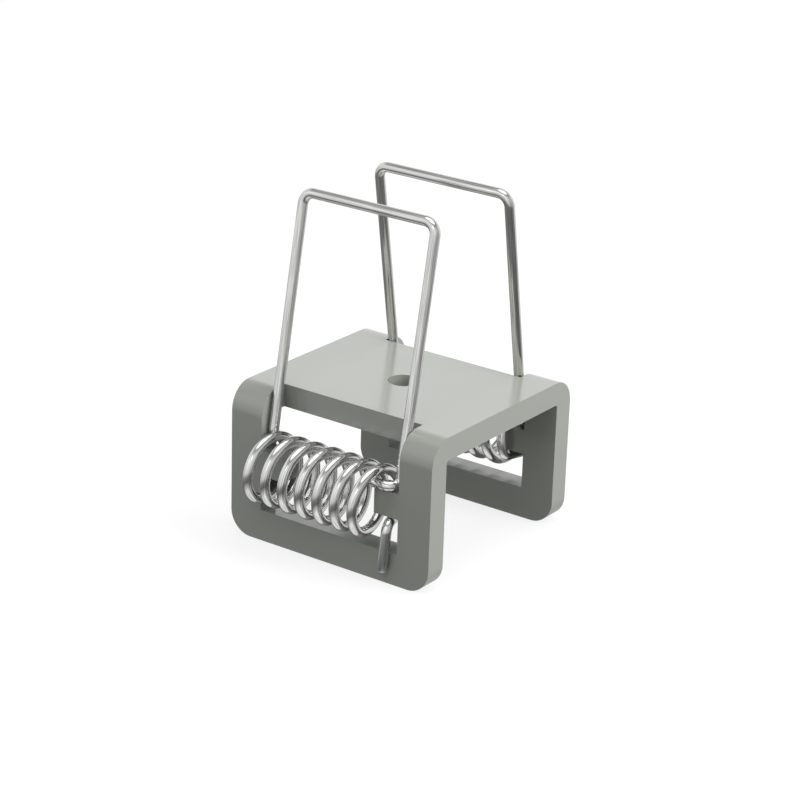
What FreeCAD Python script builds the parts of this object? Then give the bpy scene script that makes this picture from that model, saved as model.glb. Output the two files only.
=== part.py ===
"""Two-spring mounting bracket: a folded plate bracket with a torsion-spring bail on each flange.

Frame: X runs along the flanges and the coils, the front flange is at -Y, +Z is up.
The origin is centred between the flanges, in the plane of the feet.
Springs are drawn in (x, out, z), where out is the distance from the middle plane y = 0,
so the rear spring is the mirror image of the front one.
"""
import FreeCAD, Part
import math
import os

import Sketcher
from FreeCAD import Placement, Rotation, Vector

SIZES = {
    # bracket
    "plate_length": 30.4,
    "bracket_width": 30.0,
    "bracket_height": 19.6,
    "plate_thickness": 3.0,
    "inner_bend_radius": 0.3,
    "foot_corner_radius": 3.1,
    "hole_diameter": 4.0,
    "window_length": 21.0,
    "notch_depth": 4.5,
    "rail_height": 4.1,
    "lower_slot_height": 4.6,
    "tongue_height": 3.3,
    "tongue_length": 3.6,
    # spring wire
    "wire_diameter": 1.3,
    "front_strands": 7,
    "bail_top_height": 44.0,
    "bail_corner_radius": 1.5,
    "front_arm_inset": 2.45,
    "front_lean_degrees": 10.3,
    "rear_lean_degrees": 9.75,
    "arm_foot_bend": 1.0,
    "hook_bend": 1.0,
    "hook_setback": 0.75,
    "hook_length": 3.3,
    "tail_bend": 1.2,
    "tail_entry_bend": 1.08,
    "tail_side_step": 0.35,
    "tail_end_side_step": 0.95,
    "tail_end_height": 1.85,
    # clearances
    "wall_gap": 0.05,
    "rest_gap": 0.05,
    "tongue_gap": 0.05,
    "hook_standout": 0.1,
    "coil_setback": 0.1,
    "coil_drop": 0.15,
    "coil_end_gap": 0.55,
    "strand_clearance": 0.04,
    "notch_edge_gap": 0.03,
    "wire_joint_gap": 0.02,
}

doc = FreeCAD.newDocument("SpringBracket")


# ---------------------------------------------------------------- driving dimensions

def make_sheet():
    """Write every driving dimension to the sheet under its own alias."""
    sheet = doc.addObject("Spreadsheet::Sheet", "Sizes")
    for row, (alias, value) in enumerate(SIZES.items(), start=1):
        sheet.set(f"A{row}", alias)
        sheet.set(f"B{row}", str(value))
        sheet.setAlias(f"B{row}", alias)
    doc.recompute()
    return sheet


sheet = make_sheet()


def size(alias):
    """One driving dimension, read back from the sheet."""
    return float(sheet.get(alias))


# ---------------------------------------------------------------- bracket

def origin_plane(body, role):
    return next(item for item in body.Origin.OriginFeatures if item.Role == role)


def new_sketch(body, name, role, offset=None):
    """A sketch on one of the body's origin planes, moved along its normal by an expression."""
    sketch = body.newObject("Sketcher::SketchObject", name)
    sketch.AttachmentSupport = (origin_plane(body, role), [""])
    sketch.MapMode = "FlatFace"
    if offset:
        sketch.setExpression(".AttachmentOffset.Base.z", offset)
    return sketch


def pin_point(sketch, index, place, expressions):
    """Tie a sketch point to the sketch's origin by its two coordinates."""
    for kind, expression in zip(("DistanceX", "DistanceY"), expressions):
        value = float(sketch.evalExpression(expression))
        number = sketch.addConstraint(Sketcher.Constraint(kind, -1, 1, index, place, value))
        sketch.setExpression(f"Constraints[{number}]", expression)


def draw_outline(sketch, corners):
    """Draw a closed outline through corners given as pairs of expressions."""
    points = [Vector(*(float(sketch.evalExpression(text)) for text in corner), 0)
              for corner in corners]
    count = len(points)
    for index, point in enumerate(points):
        sketch.addGeometry(Part.LineSegment(point, points[(index + 1) % count]), False)
    for index, corner in enumerate(corners):
        following = (index + 1) % count
        sketch.addConstraint(Sketcher.Constraint("Coincident", index, 2, following, 1))
        pin_point(sketch, index, 1, corner)


def cut_pocket(body, name, sketch, depth):
    """Pocket a sketch, and make sure that it removed material."""
    before = body.Shape.Volume
    pocket = body.newObject("PartDesign::Pocket", name)
    pocket.Profile = sketch
    pocket.Reversed = False
    pocket.setExpression("Length", depth)
    doc.recompute()
    if body.Shape.Volume >= before:
        raise RuntimeError(f"{name} cuts nothing")
    return pocket


def round_edges(body, name, radius, chosen):
    """Fillet the edges of the body's present shape that the test picks."""
    picked = [f"Edge{number}" for number, edge in enumerate(body.Shape.Edges, start=1)
              if chosen(edge)]
    base = body.Tip
    fillet = body.newObject("PartDesign::Fillet", name)
    fillet.Base = (base, picked)
    fillet.setExpression("Radius", radius)
    doc.recompute()
    return fillet


def runs_along(edge, axis):
    first, last = edge.Vertexes[0].Point, edge.Vertexes[-1].Point
    return (last - first).cross(axis).Length < 1e-6


def make_bracket():
    """Folded U plate with a screw hole and an H-shaped window in each flange."""
    body = doc.addObject("PartDesign::Body", "bracket")
    body.Label = "bracket"
    half_width = size("bracket_width") / 2
    top = size("bracket_height")
    under_top = top - size("plate_thickness")

    profile = new_sketch(body, "profile", "YZ_Plane")
    outer = "Sizes.bracket_width / 2"
    inner = "Sizes.bracket_width / 2 - Sizes.plate_thickness"
    ceiling = "Sizes.bracket_height - Sizes.plate_thickness"
    draw_outline(profile, [
        (f"-({outer})", "0"), (f"-({inner})", "0"), (f"-({inner})", ceiling), (inner, ceiling),
        (inner, "0"), (outer, "0"), (outer, "Sizes.bracket_height"),
        (f"-({outer})", "Sizes.bracket_height"),
    ])
    plate = body.newObject("PartDesign::Pad", "folded_plate")
    plate.Profile = profile
    plate.Midplane = True
    plate.setExpression("Length", "Sizes.plate_length")
    doc.recompute()

    along_x, along_y = Vector(1, 0, 0), Vector(0, 1, 0)
    round_edges(body, "outer_bends", "Sizes.inner_bend_radius + Sizes.plate_thickness",
                lambda edge: runs_along(edge, along_x)
                and abs(edge.CenterOfMass.z - top) < 1e-6)
    round_edges(body, "inner_bends", "Sizes.inner_bend_radius",
                lambda edge: runs_along(edge, along_x)
                and abs(edge.CenterOfMass.z - under_top) < 1e-6
                and abs(edge.CenterOfMass.y) < half_width)
    round_edges(body, "foot_corners", "Sizes.foot_corner_radius",
                lambda edge: runs_along(edge, along_y)
                and abs(edge.CenterOfMass.z) < 1e-6)

    window = new_sketch(body, "window_outline", "XZ_Plane", outer)
    wall = "Sizes.window_length / 2"
    tip = "Sizes.window_length / 2 - Sizes.tongue_length"
    sill = "Sizes.rail_height"
    tongue_low = "Sizes.rail_height + Sizes.lower_slot_height"
    tongue_high = "Sizes.rail_height + Sizes.lower_slot_height + Sizes.tongue_height"
    open_top = "Sizes.bracket_height + Sizes.plate_thickness"
    right_side = [(wall, sill), (wall, tongue_low), (tip, tongue_low), (tip, tongue_high),
                  (wall, tongue_high), (wall, open_top)]
    left_side = [(f"-({across})", up) for across, up in reversed(right_side)]
    draw_outline(window, right_side + left_side)
    front_window = cut_pocket(body, "front_window", window, "Sizes.notch_depth")
    one_window = body.Shape.Volume
    rear_window = body.newObject("PartDesign::Mirrored", "rear_window")
    rear_window.Originals = [front_window]
    rear_window.MirrorPlane = (origin_plane(body, "XZ_Plane"), [""])
    body.Tip = rear_window
    doc.recompute()
    if body.Shape.Volume >= one_window:
        raise RuntimeError("rear_window cuts nothing")

    screw = new_sketch(body, "screw_hole_outline", "XY_Plane", "Sizes.bracket_height")
    screw.addGeometry(Part.Circle(Vector(0, 0, 0), Vector(0, 0, 1), size("hole_diameter") / 2))
    screw.addConstraint(Sketcher.Constraint("Coincident", 0, 3, -1, 1))
    number = screw.addConstraint(Sketcher.Constraint("Diameter", 0, size("hole_diameter")))
    screw.setExpression(f"Constraints[{number}]", "Sizes.hole_diameter")
    cut_pocket(body, "screw_hole", screw, "Sizes.plate_thickness")
    return body


# ---------------------------------------------------------------- spring geometry

def spring_numbers():
    """Places that both springs share, worked out from the bracket and the wire."""
    wire = size("wire_diameter")
    tongue_low = size("rail_height") + size("lower_slot_height")
    tongue_high = tongue_low + size("tongue_height")
    across_tongue = size("plate_thickness") - size("coil_setback")
    above_axis = size("tongue_height") / 2 + size("coil_drop")
    inner_radius = math.hypot(across_tongue, above_axis) + size("tongue_gap")
    arm_x = size("window_length") / 2 - size("wall_gap") - wire / 2
    return {
        "wire": wire,
        "axis_out": size("bracket_width") / 2 - size("coil_setback"),
        "axis_z": (tongue_low + tongue_high) / 2 - size("coil_drop"),
        "inner_radius": inner_radius,
        "radius": inner_radius + wire / 2,
        "arm_x": arm_x,
        "last_x": arm_x - wire - size("coil_end_gap"),
        "hook_z": tongue_high + wire / 2 + size("rest_gap"),
        "tail_z": tongue_low - wire / 2 - size("rest_gap"),
        "tail_out": size("bracket_width") / 2 + wire / 2 + size("rest_gap"),
    }


numbers = spring_numbers()


def on_coil(angle, across):
    """Point of the coil's centre line; angle 0 is its inner side and 90 degrees its top."""
    return Vector(across,
                  numbers["axis_out"] - numbers["radius"] * math.cos(angle),
                  numbers["axis_z"] + numbers["radius"] * math.sin(angle))


def helix_x(angle):
    """The coil runs towards +X as its angle falls; its first front strand is at -180 degrees."""
    return winding["first_x"] - (angle + math.pi) / (2 * math.pi) * winding["pitch"]


def coil_x(angle, start):
    """The helix, led in smoothly from the left arm's plane."""
    if angle < -math.pi:
        return helix_x(angle)
    span = start + math.pi
    lead = winding["lead_in"]
    slope = winding["pitch"] / (2 * math.pi) * span
    return -numbers["arm_x"] + lead * ((start - angle) / span) ** (slope / lead)


def bend(corner, before, after, radius):
    """Tangent arc that rounds a corner of a route, with its first and last points."""
    back = (before - corner).normalize()
    ahead = (after - corner).normalize()
    half_turn = (math.pi - back.getAngle(ahead)) / 2
    reach = radius * math.tan(half_turn)
    middle = (back + ahead).normalize()
    centre = corner + middle * (radius / math.cos(half_turn))
    start, end = corner + back * reach, corner + ahead * reach
    return start, centre - middle * radius, end


def rounded_route(points, radii):
    """Wire of straight runs joined by tangent arcs, one radius for each inner point."""
    edges = []
    here = points[0]
    for index, radius in enumerate(radii, start=1):
        start, middle, end = bend(points[index], points[index - 1], points[index + 1], radius)
        if start.distanceToPoint(here) > 1e-6:
            edges.append(Part.LineSegment(here, start).toShape())
        edges.append(Part.Arc(start, middle, end).toShape())
        here = end
    edges.append(Part.LineSegment(here, points[-1]).toShape())
    return Part.Wire(edges)


def tube(path, start, heading, frenet):
    """Solid round wire swept along a path."""
    ring = Part.Wire(Part.Circle(start, heading, numbers["wire"] / 2).toShape())
    shell = path.makePipeShell([ring], True, frenet)
    section = math.pi * numbers["wire"] ** 2 / 4
    expected = section * path.Length
    if abs(shell.Volume - expected) > 0.01 * expected:
        raise RuntimeError(f"wire volume {shell.Volume:.2f}, expected {expected:.2f}")
    return shell


def turned(points, side):
    """Move points from (x, out, z) to the frame; side is -1 at the front and +1 at the rear."""
    return [Vector(point.x, side * point.y, point.z) for point in points]


def arm_line(arm_inset, lean):
    """Function that gives the arms' out at a height; they lean in as they rise."""
    slope = math.tan(math.radians(lean))
    out_at_top = size("bracket_width") / 2 - arm_inset
    return lambda height: out_at_top - slope * (height - size("bracket_height"))


def arm_start_angle(arm_out, lean):
    """Angle on the coil where the bend up to the left arm begins."""
    lean_angle = math.radians(lean)
    axis_gap = (numbers["axis_out"] - arm_out(numbers["axis_z"])) * math.cos(lean_angle)
    foot_bend = size("arm_foot_bend")
    along = (foot_bend + axis_gap) / (numbers["radius"] + foot_bend)
    return math.acos(along) - lean_angle


def wind_coil():
    """Pitch and first strand that leave room for the front arm's foot beside the next strand."""
    arm_out = arm_line(size("front_arm_inset"), size("front_lean_degrees"))
    foot_angle = arm_start_angle(arm_out, size("front_lean_degrees"))
    turns = size("front_strands") - 0.5
    share = (math.pi - foot_angle) / (2 * math.pi) / turns
    reach = numbers["last_x"] + numbers["arm_x"]
    lead_in = (numbers["wire"] + size("strand_clearance") - share * reach) / (1 - share)
    return {
        "lead_in": lead_in,
        "first_x": lead_in - numbers["arm_x"],
        "pitch": (reach - lead_in) / turns,
    }


winding = wind_coil()


def make_bail(side, arm_out, start_angle):
    """Left arm, top bar, right arm and the hook that rests on the right-hand tongue."""
    arm_x, hook_z = numbers["arm_x"], numbers["hook_z"]
    top_z = size("bail_top_height")
    start = on_coil(start_angle, -arm_x)
    heading = Vector(0, math.sin(start_angle), math.cos(start_angle))
    rise = Vector(0, arm_out(1) - arm_out(0), 1)
    turn = heading.getAngle(rise)
    left_foot = start + heading * (size("arm_foot_bend") * math.tan(turn / 2))
    hook_out = size("bracket_width") / 2 + size("hook_standout")
    points = turned([
        start,
        left_foot,
        Vector(-arm_x, arm_out(top_z), top_z),
        Vector(arm_x, arm_out(top_z), top_z),
        Vector(arm_x, arm_out(hook_z), hook_z),
        Vector(arm_x - size("hook_setback"), hook_out, hook_z),
        Vector(arm_x - size("hook_length"), hook_out, hook_z),
    ], side)
    corner, hook_bend = size("bail_corner_radius"), size("hook_bend")
    path = rounded_route(points, [size("arm_foot_bend"), corner, corner, hook_bend, hook_bend])
    return tube(path, points[0], points[1] - points[0], False)


def tail_start_angle():
    """Angle on the coil, below its inner side, where the bend to the tail begins."""
    tail_bend = size("tail_bend")
    drop = numbers["axis_z"] - numbers["tail_z"] - tail_bend
    turns = size("front_strands") - 0.5
    return -2 * math.pi * turns - math.pi - math.asin(drop / (numbers["radius"] - tail_bend))


def coil_end():
    """Last point of the coil and the direction in which the wire leaves it."""
    angle = tail_start_angle()
    point = on_coil(angle, helix_x(angle))
    step = 1e-4
    heading = (on_coil(angle - step, helix_x(angle - step)) - point).normalize()
    return point, heading


def make_coil(side, start_angle):
    """Torsion coil around both tongues."""
    start_angle -= size("wire_joint_gap") / numbers["radius"]
    end_angle = tail_start_angle()
    steps = 16 * int(size("front_strands") + 1)
    angles = [start_angle + (end_angle - start_angle) * step / steps for step in range(steps + 1)]
    points = turned([on_coil(angle, coil_x(angle, start_angle)) for angle in angles], side)
    curve = Part.BSplineCurve()
    curve.interpolate(points)
    path = Part.Wire(curve.toShape())
    return tube(path, points[0], curve.tangent(curve.FirstParameter)[0], True)


def make_tail(side):
    """Wire from the coil, under the right-hand tongue and down in front of the lower rail."""
    start, heading = coil_end()
    drop = (start.z - numbers["tail_z"]) / -heading.z
    arm_x, tail_out = numbers["arm_x"], numbers["tail_out"]
    points = turned([
        start,
        start + heading * drop,
        Vector(arm_x - size("tail_side_step"), tail_out, numbers["tail_z"]),
        Vector(arm_x - size("tail_end_side_step"), tail_out, size("tail_end_height")),
    ], side)
    path = rounded_route(points, [size("tail_entry_bend"), size("hook_bend")])
    return tube(path, points[0], points[1] - points[0], False)


def add_solid(name, shape):
    """Part::Feature for one stretch of bent wire."""
    feature = doc.addObject("Part::Feature", name)
    feature.Shape = shape
    feature.Label = name
    feature.Placement = Placement(Vector(0, 0, 0), Rotation())
    return feature


def make_spring(place, side, arm_inset, lean):
    """One wire in three nodes: the moving bail, the coil that winds up and the fixed tail."""
    arm_out = arm_line(arm_inset, lean)
    start_angle = arm_start_angle(arm_out, lean)
    return [
        add_solid(f"{place}_bail", make_bail(side, arm_out, start_angle)),
        add_solid(f"{place}_coil", make_coil(side, start_angle)),
        add_solid(f"{place}_tail", make_tail(side)),
    ]


# ---------------------------------------------------------------- build, check and write

def rear_arm_inset():
    """The rear bail stands just clear of the notch's inner edge."""
    lean = math.radians(size("rear_lean_degrees"))
    return (size("notch_depth") - numbers["wire"] / 2 / math.cos(lean)
            - size("notch_edge_gap"))


parts = [make_bracket()]
parts += make_spring("front", -1, size("front_arm_inset"), size("front_lean_degrees"))
parts += make_spring("rear", 1, rear_arm_inset(), size("rear_lean_degrees"))
doc.recompute()

for item in doc.Objects:
    if "Invalid" in item.State or "Error" in item.State:
        raise RuntimeError(f"{item.Label} failed: {item.State}")
for part in parts:
    if part.Shape.isNull() or not part.Shape.isValid():
        raise RuntimeError(f"{part.Label} has no valid shape")

os.makedirs("parts", exist_ok=True)
for part in parts:
    part.Shape.exportStep(f"parts/{part.Label}.step")
    box = part.Shape.BoundBox
    print(f"{part.Label}: volume {part.Shape.Volume:.1f}, solids {len(part.Shape.Solids)},"
          f" x {box.XMin:.2f}..{box.XMax:.2f}, y {box.YMin:.2f}..{box.YMax:.2f},"
          f" z {box.ZMin:.2f}..{box.ZMax:.2f}")
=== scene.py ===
"""Looks of the two-spring mounting bracket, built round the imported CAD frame.

Lengths are in millimetres until a mesh is made; Blender's own numbers are in metres.
Springs are drawn in (x, out, z), where out is the distance from the middle plane y = 0.
"""

import math

import bmesh
import bpy
from mathutils import Matrix, Vector


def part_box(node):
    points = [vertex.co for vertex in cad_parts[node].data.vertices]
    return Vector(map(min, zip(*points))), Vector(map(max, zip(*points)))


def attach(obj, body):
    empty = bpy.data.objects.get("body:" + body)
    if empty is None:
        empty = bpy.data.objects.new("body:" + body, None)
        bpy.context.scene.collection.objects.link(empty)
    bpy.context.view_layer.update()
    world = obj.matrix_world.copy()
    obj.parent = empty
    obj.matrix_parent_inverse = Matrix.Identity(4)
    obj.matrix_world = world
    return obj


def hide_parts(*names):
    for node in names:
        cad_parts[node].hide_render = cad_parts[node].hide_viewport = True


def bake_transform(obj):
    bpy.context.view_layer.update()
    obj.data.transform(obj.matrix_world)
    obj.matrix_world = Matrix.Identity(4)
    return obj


MM = 0.001

# plate
PLATE_THICKNESS = 3.0
INNER_BEND_RADIUS = 0.3
FOOT_CORNER_RADIUS = 3.1
HOLE_RADIUS = 2.0
WINDOW_HALF_LENGTH = 10.5
NOTCH_DEPTH = 4.5
RAIL_HEIGHT = 4.1
TONGUE_LOW = 8.7
TONGUE_HIGH = 12.0
TONGUE_LENGTH = 3.6
CUT_EDGE_BEVEL = 0.11

# springs
WIRE_RADIUS = 0.65
FRONT_STRANDS = 7
COIL_LEAD_IN = 0.4615
COIL_END_GAP = 0.55
BAIL_CORNER_RADIUS = 1.5
ARM_FOOT_BEND = 1.0
HOOK_BEND = 1.0
HOOK_SETBACK = 0.75
HOOK_LENGTH = 3.3
HOOK_STANDOUT = 0.1
TAIL_BEND = 1.2
TAIL_ENTRY_BEND = 1.08
TAIL_SIDE_STEP = 0.35
TAIL_END_SIDE_STEP = 0.95
TAIL_END_HEIGHT = 1.85
REST_GAP = 0.05
FRONT_ARM_INSET = 2.45
FRONT_LEAN = math.radians(10.3)
REAR_LEAN = math.radians(9.75)
REAR_NOTCH_GAP = 0.03
CUT_END_ROUND = 0.14
CUT_END_FLAT = 0.4  # radius of the innermost ring, as a share of the wire's

# fineness of the meshes
OUTER_BEND_STEPS = 24
INNER_BEND_STEPS = 6
FOOT_CORNER_STEPS = 20
HOLE_SIDES = 144
WIRE_SIDES = 28
WIRE_BEND_STEPS = 18
COIL_STEPS_PER_TURN = 72
CUT_END_STEPS = 4
LONGEST_RUN = 2.0
SAME_POINT = 1e-4

# surround and floor
FILL_STRENGTH = 1.4
MIRRORED_STRENGTH = 2.0
BEHIND_SHADE = 0.22
FLOOR_RADIUS_M = 2.5
FLOOR_GLOW = 0.78

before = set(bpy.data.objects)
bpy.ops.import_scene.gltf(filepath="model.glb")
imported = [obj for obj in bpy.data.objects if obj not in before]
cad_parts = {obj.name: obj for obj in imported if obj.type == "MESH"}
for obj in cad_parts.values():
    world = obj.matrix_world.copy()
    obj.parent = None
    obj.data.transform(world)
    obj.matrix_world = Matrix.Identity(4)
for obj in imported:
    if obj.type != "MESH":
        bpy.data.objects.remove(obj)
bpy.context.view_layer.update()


# ---------------------------------------------------------------- sizes read from the frame

def box_mm(node):
    """Lowest and highest corner of a node's box, in millimetres."""
    low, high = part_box(node)
    return Vector(low) / MM, Vector(high) / MM


plate_high = box_mm("bracket")[1]
coil_low, coil_high = box_mm("rear_coil")
bail_high = box_mm("rear_bail")[1]

HALF_LENGTH = plate_high.x
HALF_WIDTH = plate_high.y
HEIGHT = plate_high.z
AXIS_OUT = (coil_low.y + coil_high.y) / 2
AXIS_Z = (coil_low.z + coil_high.z) / 2
COIL_RADIUS = (coil_high.y - coil_low.y) / 2 - WIRE_RADIUS
ARM_X = bail_high.x - WIRE_RADIUS
BAIL_TOP = bail_high.z - WIRE_RADIUS
HOOK_Z = TONGUE_HIGH + WIRE_RADIUS + REST_GAP
TAIL_Z = TONGUE_LOW - WIRE_RADIUS - REST_GAP
TAIL_OUT = HALF_WIDTH + WIRE_RADIUS + REST_GAP
FIRST_X = COIL_LEAD_IN - ARM_X
LAST_X = ARM_X - 2 * WIRE_RADIUS - COIL_END_GAP
PITCH = (LAST_X - FIRST_X) / (FRONT_STRANDS - 0.5)


# ---------------------------------------------------------------- meshes

def new_object(name, bm):
    """Object in the scene made from a finished bmesh."""
    mesh = bpy.data.meshes.new(name)
    bm.to_mesh(mesh)
    bm.free()
    piece = bpy.data.objects.new(name, mesh)
    bpy.context.scene.collection.objects.link(piece)
    return piece


def prism(name, outline, start, along):
    """Solid made by moving a closed flat outline of points, in millimetres, along a vector."""
    bm = bmesh.new()
    near = [bm.verts.new((start + point) * MM) for point in outline]
    far = [bm.verts.new((start + point + along) * MM) for point in outline]
    count = len(outline)
    bm.faces.new(near)
    bm.faces.new(list(reversed(far)))
    for index in range(count):
        following = (index + 1) % count
        bm.faces.new((near[index], far[index], far[following], near[following]))
    bmesh.ops.recalc_face_normals(bm, faces=bm.faces)
    return new_object(name, bm)


def arc(centre, radius, start, end, steps):
    """Points (across, up) of an arc between two angles in degrees."""
    for step in range(steps + 1):
        angle = math.radians(start + (end - start) * step / steps)
        yield centre[0] + radius * math.cos(angle), centre[1] + radius * math.sin(angle)


def plate_profile():
    """Cross-section of the folded plate, in the YZ plane."""
    outer_radius = INNER_BEND_RADIUS + PLATE_THICKNESS
    inner_width = HALF_WIDTH - PLATE_THICKNESS
    ceiling = HEIGHT - PLATE_THICKNESS
    bend_out = HALF_WIDTH - outer_radius
    bend_up = HEIGHT - outer_radius
    outline = [(HALF_WIDTH, 0.0)]
    outline += arc((bend_out, bend_up), outer_radius, 0, 90, OUTER_BEND_STEPS)
    outline += arc((-bend_out, bend_up), outer_radius, 90, 180, OUTER_BEND_STEPS)
    outline += [(-HALF_WIDTH, 0.0), (-inner_width, 0.0)]
    corner = inner_width - INNER_BEND_RADIUS, ceiling - INNER_BEND_RADIUS
    outline += arc((-corner[0], corner[1]), INNER_BEND_RADIUS, 180, 90, INNER_BEND_STEPS)
    outline += arc(corner, INNER_BEND_RADIUS, 90, 0, INNER_BEND_STEPS)
    outline += [(inner_width, 0.0)]
    return [Vector((0, across, up)) for across, up in outline]


def foot_outline():
    """Side view that keeps the plate and rounds the feet's corners, in the XZ plane."""
    past = HEIGHT + PLATE_THICKNESS
    centre = HALF_LENGTH - FOOT_CORNER_RADIUS
    outline = [(HALF_LENGTH, past), (-HALF_LENGTH, past)]
    outline += arc((-centre, FOOT_CORNER_RADIUS), FOOT_CORNER_RADIUS, 180, 270, FOOT_CORNER_STEPS)
    outline += arc((centre, FOOT_CORNER_RADIUS), FOOT_CORNER_RADIUS, 270, 360, FOOT_CORNER_STEPS)
    return [Vector((across, 0, up)) for across, up in outline]


def window_outline():
    """H-shaped window, open at its top, in the XZ plane."""
    wall, tip = WINDOW_HALF_LENGTH, WINDOW_HALF_LENGTH - TONGUE_LENGTH
    right = [(wall, RAIL_HEIGHT), (wall, TONGUE_LOW), (tip, TONGUE_LOW), (tip, TONGUE_HIGH),
             (wall, TONGUE_HIGH), (wall, HEIGHT + PLATE_THICKNESS)]
    left = [(-across, up) for across, up in reversed(right)]
    return [Vector((across, 0, up)) for across, up in right + left]


def combine(piece, tool, operation):
    """Apply a boolean with a tool that is then thrown away."""
    modifier = piece.modifiers.new("boolean", "BOOLEAN")
    modifier.operation = operation
    modifier.solver = "EXACT"
    modifier.object = tool
    apply_modifiers(piece)
    bpy.data.objects.remove(tool)


def apply_modifiers(piece):
    """Turn the piece's modifiers into mesh."""
    graph = bpy.context.evaluated_depsgraph_get()
    mesh = bpy.data.meshes.new_from_object(piece.evaluated_get(graph))
    piece.modifiers.clear()
    old = piece.data
    piece.data = mesh
    bpy.data.meshes.remove(old)


def make_plate():
    """The folded plate with its windows, its screw hole and slightly broken cut edges."""
    plate = prism("bracket_plate", plate_profile(), Vector((-HALF_LENGTH, 0, 0)),
                  Vector((2 * HALF_LENGTH, 0, 0)))
    depth = 2 * HALF_WIDTH + 2 * PLATE_THICKNESS
    combine(plate, prism("feet", foot_outline(), Vector((0, -depth / 2, 0)),
                         Vector((0, depth, 0))), "INTERSECT")
    for side in (-1, 1):
        start = Vector((0, side * (HALF_WIDTH - NOTCH_DEPTH), 0))
        reach = Vector((0, side * (NOTCH_DEPTH + PLATE_THICKNESS), 0))
        combine(plate, prism("window", window_outline(), start, reach), "DIFFERENCE")
    last_angle = 360 - 360 / HOLE_SIDES
    circle = [Vector((across, up, 0))
              for across, up in arc((0, 0), HOLE_RADIUS, 0, last_angle, HOLE_SIDES - 1)]
    combine(plate, prism("hole", circle, Vector((0, 0, HEIGHT - 2 * PLATE_THICKNESS)),
                         Vector((0, 0, 3 * PLATE_THICKNESS))), "DIFFERENCE")
    bevel = plate.modifiers.new("broken_edges", "BEVEL")
    bevel.width = CUT_EDGE_BEVEL * MM
    bevel.segments = 3
    bevel.limit_method = "ANGLE"
    bevel.angle_limit = math.radians(35)
    bevel.harden_normals = True
    bevel.use_clamp_overlap = True
    apply_modifiers(plate)
    return plate


# ---------------------------------------------------------------- bent wire

def on_coil(angle, across):
    """Point of the coil's centre line; angle 0 is its inner side and 90 degrees its top."""
    return Vector((across, AXIS_OUT - COIL_RADIUS * math.cos(angle),
                   AXIS_Z + COIL_RADIUS * math.sin(angle)))


def coil_x(angle, start):
    """The coil runs towards +X as its angle falls, and eases in from the left arm."""
    if angle >= -math.pi:
        span = start + math.pi
        slope = PITCH / (2 * math.pi) * span
        return -ARM_X + COIL_LEAD_IN * ((start - angle) / span) ** (slope / COIL_LEAD_IN)
    return FIRST_X + (-math.pi - angle) / (2 * math.pi) * PITCH


def bend(corner, before, after, radius):
    """Points of the tangent arc that rounds a corner of a route."""
    back = (before - corner).normalized()
    ahead = (after - corner).normalized()
    half_turn = (math.pi - back.angle(ahead)) / 2
    centre = corner + (back + ahead).normalized() * (radius / math.cos(half_turn))
    start = corner + back * (radius * math.tan(half_turn)) - centre
    axis = start.cross(-back).normalized()
    for step in range(WIRE_BEND_STEPS + 1):
        yield centre + Matrix.Rotation(2 * half_turn * step / WIRE_BEND_STEPS, 3, axis) @ start


def rounded_route(points, radii):
    """Centre line of straight runs joined by arcs, one radius for each inner point."""
    line = [points[0]]
    for index, radius in enumerate(radii, start=1):
        for point in bend(points[index], points[index - 1], points[index + 1], radius):
            if (point - line[-1]).length > SAME_POINT:
                line.append(point)
    line.append(points[-1])
    return line


def with_runs(line):
    """The same line with its long straight runs divided."""
    divided = [line[0]]
    for point in line[1:]:
        last = divided[-1]
        count = max(1, math.ceil((point - last).length / LONGEST_RUN))
        divided += [last.lerp(point, step / count) for step in range(1, count + 1)]
    return divided


def on_side(place, side):
    """A point or direction drawn in (x, out, z), at the front (-1) or the rear (1)."""
    return Vector((place.x, side * place.y, place.z))


def wire_mesh(name, line, side, first_heading):
    """Round wire along a centre line, open at its start and with a broken edge at its cut end."""
    points = [on_side(point, side) for point in line]
    headings = []
    for index in range(len(points)):
        before, after = points[max(index - 1, 0)], points[min(index + 1, len(points) - 1)]
        headings.append((after - before).normalized())
    headings[0] = on_side(first_heading, side).normalized()
    across = Vector((1, 0, 0)).cross(headings[0]).normalized()
    rings = []
    run = 0.0
    for index, (point, heading) in enumerate(zip(points, headings)):
        if index:
            turn = headings[index - 1].rotation_difference(heading)
            across = turn @ across
            run += (point - points[index - 1]).length
        across = (across - heading * across.dot(heading)).normalized()
        rings.append((point, heading, across.copy(), WIRE_RADIUS, run))
    return skin(name, rings[:-1] + cut_end(rings[-1]))


def cut_end(ring):
    """Rings that break the edge of the wire's cut end, in order along the wire."""
    point, heading, across, radius, run = ring
    rings = []
    for step in range(CUT_END_STEPS + 1):
        angle = math.radians(90) * step / CUT_END_STEPS
        back = CUT_END_ROUND * (1 - math.sin(angle))
        shrink = CUT_END_ROUND * (1 - math.cos(angle))
        rings.append((point - heading * back, heading, across, radius - shrink, run - back))
    rings.append((point, heading, across, radius * CUT_END_FLAT, run))
    return rings


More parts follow.
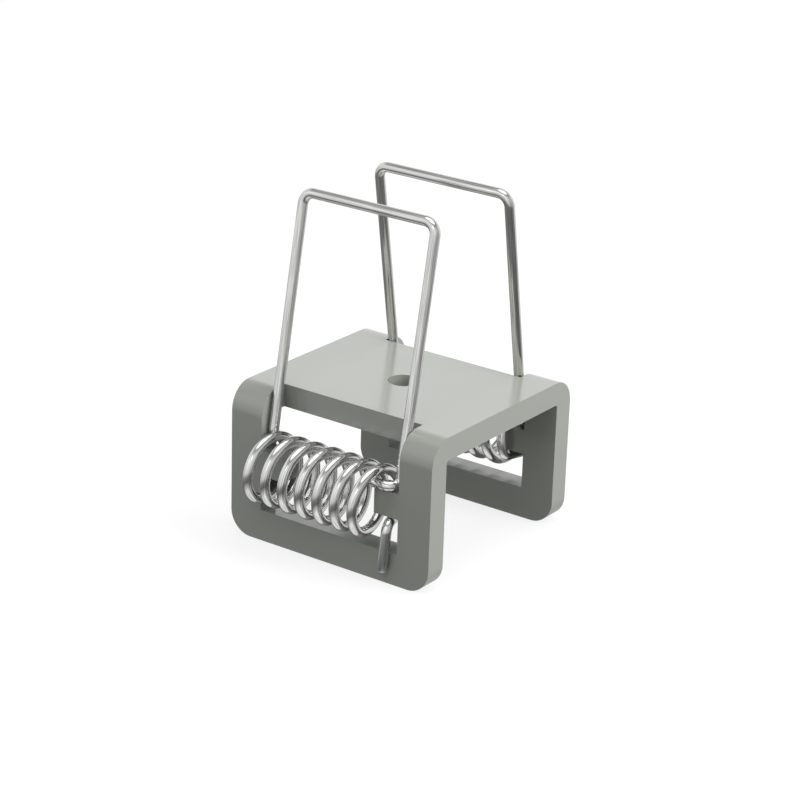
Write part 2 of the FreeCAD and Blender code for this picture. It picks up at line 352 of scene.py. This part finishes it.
def skin(name, rings):
    """Join rings to a tube with a UV map: U in millimetres along it, V once round it."""
    bm = bmesh.new()
    layer = bm.loops.layers.uv.new("wire")
    loops = []
    for point, heading, across, radius, _ in rings:
        other = heading.cross(across)
        loop = []
        for side in range(WIRE_SIDES):
            turn = 2 * math.pi * side / WIRE_SIDES
            way = across * math.cos(turn) + other * math.sin(turn)
            loop.append(bm.verts.new((point + way * radius) * MM))
        loops.append(loop)
    for index, (loop, next_loop) in enumerate(zip(loops, loops[1:])):
        run, next_run = rings[index][-1], rings[index + 1][-1]
        for side in range(WIRE_SIDES):
            following = (side + 1) % WIRE_SIDES
            face = bm.faces.new((loop[side], loop[following], next_loop[following], next_loop[side]))
            face.smooth = True
            corners = ((run, side), (run, side + 1), (next_run, side + 1), (next_run, side))
            for corner, (along, turn) in zip(face.loops, corners):
                corner[layer].uv = (along, turn / WIRE_SIDES)
    bm.faces.new(loops[-1])
    bmesh.ops.recalc_face_normals(bm, faces=bm.faces)
    return new_object(name, bm)


def arm_line(lean, inset):
    """Function that gives the arms' out at a height; they lean in as they rise."""
    return lambda height: HALF_WIDTH - inset - math.tan(lean) * (height - HEIGHT)


def arm_start_angle(arm_out, lean):
    """Angle on the coil where the bend up to the left arm begins."""
    axis_gap = (AXIS_OUT - arm_out(AXIS_Z)) * math.cos(lean)
    return math.acos((ARM_FOOT_BEND + axis_gap) / (COIL_RADIUS + ARM_FOOT_BEND)) - lean


def make_bail(place, side, arm_out, start_angle):
    """Left arm, top bar, right arm and the hook that rests on the right-hand tongue."""
    start = on_coil(start_angle, -ARM_X)
    heading = Vector((0, math.sin(start_angle), math.cos(start_angle)))
    rise = Vector((0, arm_out(1) - arm_out(0), 1))
    left_foot = start + heading * (ARM_FOOT_BEND * math.tan(heading.angle(rise) / 2))
    hook_out = HALF_WIDTH + HOOK_STANDOUT
    route = [start, left_foot,
             Vector((-ARM_X, arm_out(BAIL_TOP), BAIL_TOP)),
             Vector((ARM_X, arm_out(BAIL_TOP), BAIL_TOP)),
             Vector((ARM_X, arm_out(HOOK_Z), HOOK_Z)),
             Vector((ARM_X - HOOK_SETBACK, hook_out, HOOK_Z)),
             Vector((ARM_X - HOOK_LENGTH, hook_out, HOOK_Z))]
    radii = [ARM_FOOT_BEND, BAIL_CORNER_RADIUS, BAIL_CORNER_RADIUS, HOOK_BEND, HOOK_BEND]
    line = with_runs(rounded_route(route, radii))
    return wire_mesh(f"{place}_bail_wire", line, side, heading)


def make_coil(place, side, start_angle):
    """Torsion coil round both tongues, with its tail down in front of the lower rail."""
    turns = FRONT_STRANDS - 0.5
    dip = math.asin((AXIS_Z - TAIL_Z - TAIL_BEND) / (COIL_RADIUS - TAIL_BEND))
    end_angle = -2 * math.pi * turns - math.pi - dip
    steps = COIL_STEPS_PER_TURN * (FRONT_STRANDS + 1)
    angles = [start_angle + (end_angle - start_angle) * step / steps for step in range(steps + 1)]
    line = [on_coil(angle, coil_x(angle, start_angle)) for angle in angles]
    heading = (line[-1] - line[-2]).normalized()
    drop = (line[-1].z - TAIL_Z) / -heading.z
    route = [line[-1], line[-1] + heading * drop,
             Vector((ARM_X - TAIL_SIDE_STEP, TAIL_OUT, TAIL_Z)),
             Vector((ARM_X - TAIL_END_SIDE_STEP, TAIL_OUT, TAIL_END_HEIGHT))]
    line += with_runs(rounded_route(route, [TAIL_ENTRY_BEND, HOOK_BEND]))[1:]
    first = Vector((0, -math.sin(start_angle), -math.cos(start_angle)))
    return wire_mesh(f"{place}_coil_wire", line, side, first)


# ---------------------------------------------------------------- materials

def new_material(name):
    """Material with its nodes, its links and its shader."""
    material = bpy.data.materials.new(name)
    material.use_nodes = True
    nodes, links = material.node_tree.nodes, material.node_tree.links
    return material, nodes, links, nodes["Principled BSDF"]


def noise(nodes, links, place, scale, detail):
    """Noise over a coordinate."""
    texture = nodes.new("ShaderNodeTexNoise")
    texture.inputs["Scale"].default_value = scale
    texture.inputs["Detail"].default_value = detail
    links.new(place, texture.inputs["Vector"])
    return texture.outputs["Fac"]


def map_range(nodes, links, value, source, result):
    """A value moved from one (low, high) range to another, and held within it."""
    node = nodes.new("ShaderNodeMapRange")
    node.inputs["From Min"].default_value, node.inputs["From Max"].default_value = source
    node.inputs["To Min"].default_value, node.inputs["To Max"].default_value = result
    links.new(value, node.inputs["Value"])
    return node.outputs["Result"]


def colour_ramp(nodes, links, value, stops):
    """Colour picked by a value from (position, (red, green, blue)) stops."""
    ramp = nodes.new("ShaderNodeValToRGB")
    elements = ramp.color_ramp.elements
    elements[0].position = stops[0][0]
    elements[1].position = stops[-1][0]
    for position, _ in stops[1:-1]:
        elements.new(position)
    for element, (_, colour) in zip(elements, stops):
        element.color = (*colour, 1)
    links.new(value, ramp.inputs["Fac"])
    return ramp.outputs["Color"]


def grey_ramp(nodes, links, value, shades):
    """Grey picked by a value from (position, shade) pairs."""
    stops = [(position, (shade, shade, shade)) for position, shade in shades]
    return colour_ramp(nodes, links, value, stops)


def bump(nodes, links, shader, height, strength, distance_m):
    """Fine relief on a shader."""
    node = nodes.new("ShaderNodeBump")
    node.inputs["Strength"].default_value = strength
    node.inputs["Distance"].default_value = distance_m
    links.new(height, node.inputs["Height"])
    links.new(node.outputs["Normal"], shader.inputs["Normal"])


def plate_material():
    """Satin grey-green coat: fine grain, and slow changes of tone and gloss."""
    material, nodes, links, shader = new_material("satin_plate")
    place = nodes.new("ShaderNodeTexCoord").outputs["Object"]
    broad = noise(nodes, links, place, scale=90, detail=2)
    grain = noise(nodes, links, place, scale=3500, detail=3)
    tone = colour_ramp(nodes, links, broad, ((0.2, (0.262, 0.275, 0.246)), (0.8, (0.277, 0.290, 0.260))))
    rough = map_range(nodes, links, broad, (0.2, 0.8), (0.18, 0.22))
    links.new(tone, shader.inputs["Base Color"])
    links.new(rough, shader.inputs["Roughness"])
    bump(nodes, links, shader, grain, strength=0.12, distance_m=0.00004)
    shader.inputs["Metallic"].default_value = 0.05
    shader.inputs["Coat Weight"].default_value = 0.8
    shader.inputs["Coat Roughness"].default_value = 0.09
    return material


def wire_material():
    """Bright drawn spring wire: fine draw lines along it that differ in tone and gloss."""
    material, nodes, links, shader = new_material("bright_wire")
    place = nodes.new("ShaderNodeUVMap")
    place.uv_map = "wire"
    stretch = nodes.new("ShaderNodeMapping")
    stretch.inputs["Scale"].default_value = (0.06, 12, 1)
    links.new(place.outputs["UV"], stretch.inputs["Vector"])
    lines = noise(nodes, links, stretch.outputs["Vector"], scale=3, detail=5)
    tone = colour_ramp(nodes, links, lines, ((0.34, (0.50, 0.50, 0.49)), (0.62, (0.84, 0.84, 0.83))))
    rough = map_range(nodes, links, lines, (0, 1), (0.05, 0.15))
    links.new(tone, shader.inputs["Base Color"])
    links.new(rough, shader.inputs["Roughness"])
    bump(nodes, links, shader, lines, strength=0.25, distance_m=0.00003)
    shader.inputs["Metallic"].default_value = 1.0
    return material


def floor_material():
    """Near-white floor that mostly glows, so that it stays even and takes a faint shadow."""
    material, nodes, links, shader = new_material("pale_floor")
    place = nodes.new("ShaderNodeTexCoord").outputs["Object"]
    mottle = noise(nodes, links, place, scale=6, detail=2)
    tone = grey_ramp(nodes, links, mottle, ((0.0, 0.90), (1.0, 0.93)))
    links.new(tone, shader.inputs["Base Color"])
    shader.inputs["Roughness"].default_value = 0.8
    glow = nodes.new("ShaderNodeEmission")
    mix = nodes.new("ShaderNodeMixShader")
    mix.inputs["Fac"].default_value = FLOOR_GLOW
    links.new(shader.outputs["BSDF"], mix.inputs[1])
    links.new(glow.outputs["Emission"], mix.inputs[2])
    links.new(mix.outputs["Shader"], nodes["Material Output"].inputs["Surface"])
    return material


# ---------------------------------------------------------------- pieces on their bodies

plate_finish = plate_material()
wire_finish = wire_material()

plate = make_plate()
plate.data.materials.append(plate_finish)
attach(plate, "bracket_body")
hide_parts("bracket")


def make_spring(place, side, lean, inset):
    """One spring: a rigid bail, and a coil between the bail and the bracket, fixed in place."""
    arm_out = arm_line(lean, inset)
    start_angle = arm_start_angle(arm_out, lean)
    bail = make_bail(place, side, arm_out, start_angle)
    coil = make_coil(place, side, start_angle)
    for piece in (bail, coil):
        piece.data.materials.append(wire_finish)
    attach(bail, f"{place}_bail_body")
    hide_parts(f"{place}_bail")
    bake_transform(coil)
    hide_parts(f"{place}_coil", f"{place}_tail")


make_spring("front", -1, FRONT_LEAN, FRONT_ARM_INSET)
make_spring("rear", 1, REAR_LEAN,
            NOTCH_DEPTH - WIRE_RADIUS / math.cos(REAR_LEAN) - REAR_NOTCH_GAP)


# ---------------------------------------------------------------- floor, light and camera

def make_floor():
    """Round floor that neither lights the object nor shows in it."""
    bm = bmesh.new()
    bmesh.ops.create_circle(bm, cap_ends=True, segments=96, radius=FLOOR_RADIUS_M)
    floor = new_object("floor", bm)
    floor.data.materials.append(floor_material())
    floor.visible_diffuse = False
    floor.visible_glossy = False


def make_light(name, azimuth, elevation, distance, width, height, power, mirrored=False):
    """Soft box facing the object; degrees, metres and watts, and azimuth 0 is at -Y.

    A mirrored one shows only in glossy surfaces, and any other lights only dull ones.
    """
    turn, rise = math.radians(azimuth), math.radians(elevation)
    way = Vector((math.sin(turn) * math.cos(rise), -math.cos(turn) * math.cos(rise), math.sin(rise)))
    data = bpy.data.lights.new(name, "AREA")
    data.shape = "RECTANGLE"
    data.size = width
    data.size_y = height
    data.energy = power
    light = bpy.data.objects.new(name, data)
    target = Vector((0, 0, HEIGHT * MM))
    light.location = target + way * distance
    light.rotation_euler = (-way).to_track_quat("-Z", "Y").to_euler()
    light.visible_glossy = mirrored
    light.visible_diffuse = not mirrored
    bpy.context.scene.collection.objects.link(light)


def make_world():
    """Studio surround, as it lights dull surfaces, as it is mirrored and as it is seen."""
    world = bpy.data.worlds.new("studio")
    world.use_nodes = True
    nodes, links = world.node_tree.nodes, world.node_tree.links
    place = nodes.new("ShaderNodeTexCoord")
    split = nodes.new("ShaderNodeSeparateXYZ")
    links.new(place.outputs["Generated"], split.inputs["Vector"])
    height = map_range(nodes, links, split.outputs["Z"], (-1, 1), (0, 1))

    fill = grey_ramp(nodes, links, height,
                     ((0.0, 0.10), (0.42, 0.18), (0.56, 0.43), (0.72, 0.53), (1.0, 0.70)))
    lit = nodes.new("ShaderNodeBackground")
    lit.inputs["Strength"].default_value = FILL_STRENGTH
    links.new(fill, lit.inputs["Color"])

    sweep = grey_ramp(nodes, links, height,
                      ((0.0, 0.42), (0.04, 0.52), (0.10, 0.30), (0.19, 0.08), (0.29, 0.13),
                       (0.39, 0.38), (0.57, 0.48), (0.695, 0.54), (0.81, 0.42),
                       (0.89, 0.20), (0.925, 0.22), (0.95, 0.90), (1.0, 1.0)))
    to_right = map_range(nodes, links, split.outputs["X"], (0.5, 0.95), (1, 0.55))
    to_rear = map_range(nodes, links, split.outputs["Y"], (0.1, 0.8), (1, 0.55))
    dimmed = nodes.new("ShaderNodeMath")
    dimmed.operation = "MULTIPLY"
    links.new(to_right, dimmed.inputs[0])
    links.new(to_rear, dimmed.inputs[1])
    behind = map_range(nodes, links, split.outputs["Y"], (0.55, 0.76), (0, BEHIND_SHADE))
    total = nodes.new("ShaderNodeMath")
    total.operation = "MULTIPLY_ADD"
    links.new(sweep, total.inputs[0])
    links.new(dimmed.outputs["Value"], total.inputs[1])
    links.new(behind, total.inputs[2])
    mirrored = nodes.new("ShaderNodeBackground")
    mirrored.inputs["Strength"].default_value = MIRRORED_STRENGTH
    links.new(total.outputs["Value"], mirrored.inputs["Color"])

    seen = nodes["Background"]
    seen.inputs["Color"].default_value = (1, 1, 1, 1)
    path = nodes.new("ShaderNodeLightPath")
    shader = lit
    for kind, other in (("Is Glossy Ray", mirrored), ("Is Camera Ray", seen)):
        mix = nodes.new("ShaderNodeMixShader")
        links.new(path.outputs[kind], mix.inputs["Fac"])
        links.new(shader.outputs[0], mix.inputs[1])
        links.new(other.outputs["Background"], mix.inputs[2])
        shader = mix
    links.new(shader.outputs["Shader"], nodes["World Output"].inputs["Surface"])
    bpy.context.scene.world = world


def make_camera():
    """Camera at the viewing angle: azimuth from -Y towards +X, then elevation and roll."""
    azimuth, elevation, roll = (math.radians(angle) for angle in (35.47, 21.29, 1.85))
    distance, aside, above = 328.3, -0.14, 6.69
    back = Vector((math.sin(azimuth) * math.cos(elevation),
                   -math.cos(azimuth) * math.cos(elevation), math.sin(elevation)))
    level = Vector((math.cos(azimuth), math.sin(azimuth), 0))
    upright = back.cross(level)
    right = level * math.cos(roll) + upright * math.sin(roll)
    up = upright * math.cos(roll) - level * math.sin(roll)
    data = bpy.data.cameras.new("camera")
    data.sensor_width = 36
    data.lens = 117.4
    data.clip_start = 0.01
    camera = bpy.data.objects.new("camera", data)
    axes = Matrix((right, up, back)).transposed()
    place = Vector((0, 0, HEIGHT / 2)) + right * aside + up * above + back * distance
    camera.matrix_world = Matrix.Translation(place * MM) @ axes.to_4x4()
    bpy.context.scene.collection.objects.link(camera)
    bpy.context.scene.camera = camera


make_floor()
make_world()
make_light("overhead_box", azimuth=150, elevation=64, distance=0.5, width=0.3, height=0.3, power=0.85)
make_light("front_fill", azimuth=10, elevation=40, distance=0.12, width=0.06, height=0.06, power=0.027)
make_light("right_box", azimuth=100, elevation=25, distance=0.5, width=0.25, height=0.3, power=2.2)
make_light("corner_glint", azimuth=10, elevation=32, distance=0.5, width=0.06, height=0.12, power=0.04,
           mirrored=True)
make_camera()
bpy.context.scene.view_settings.view_transform = "Standard"
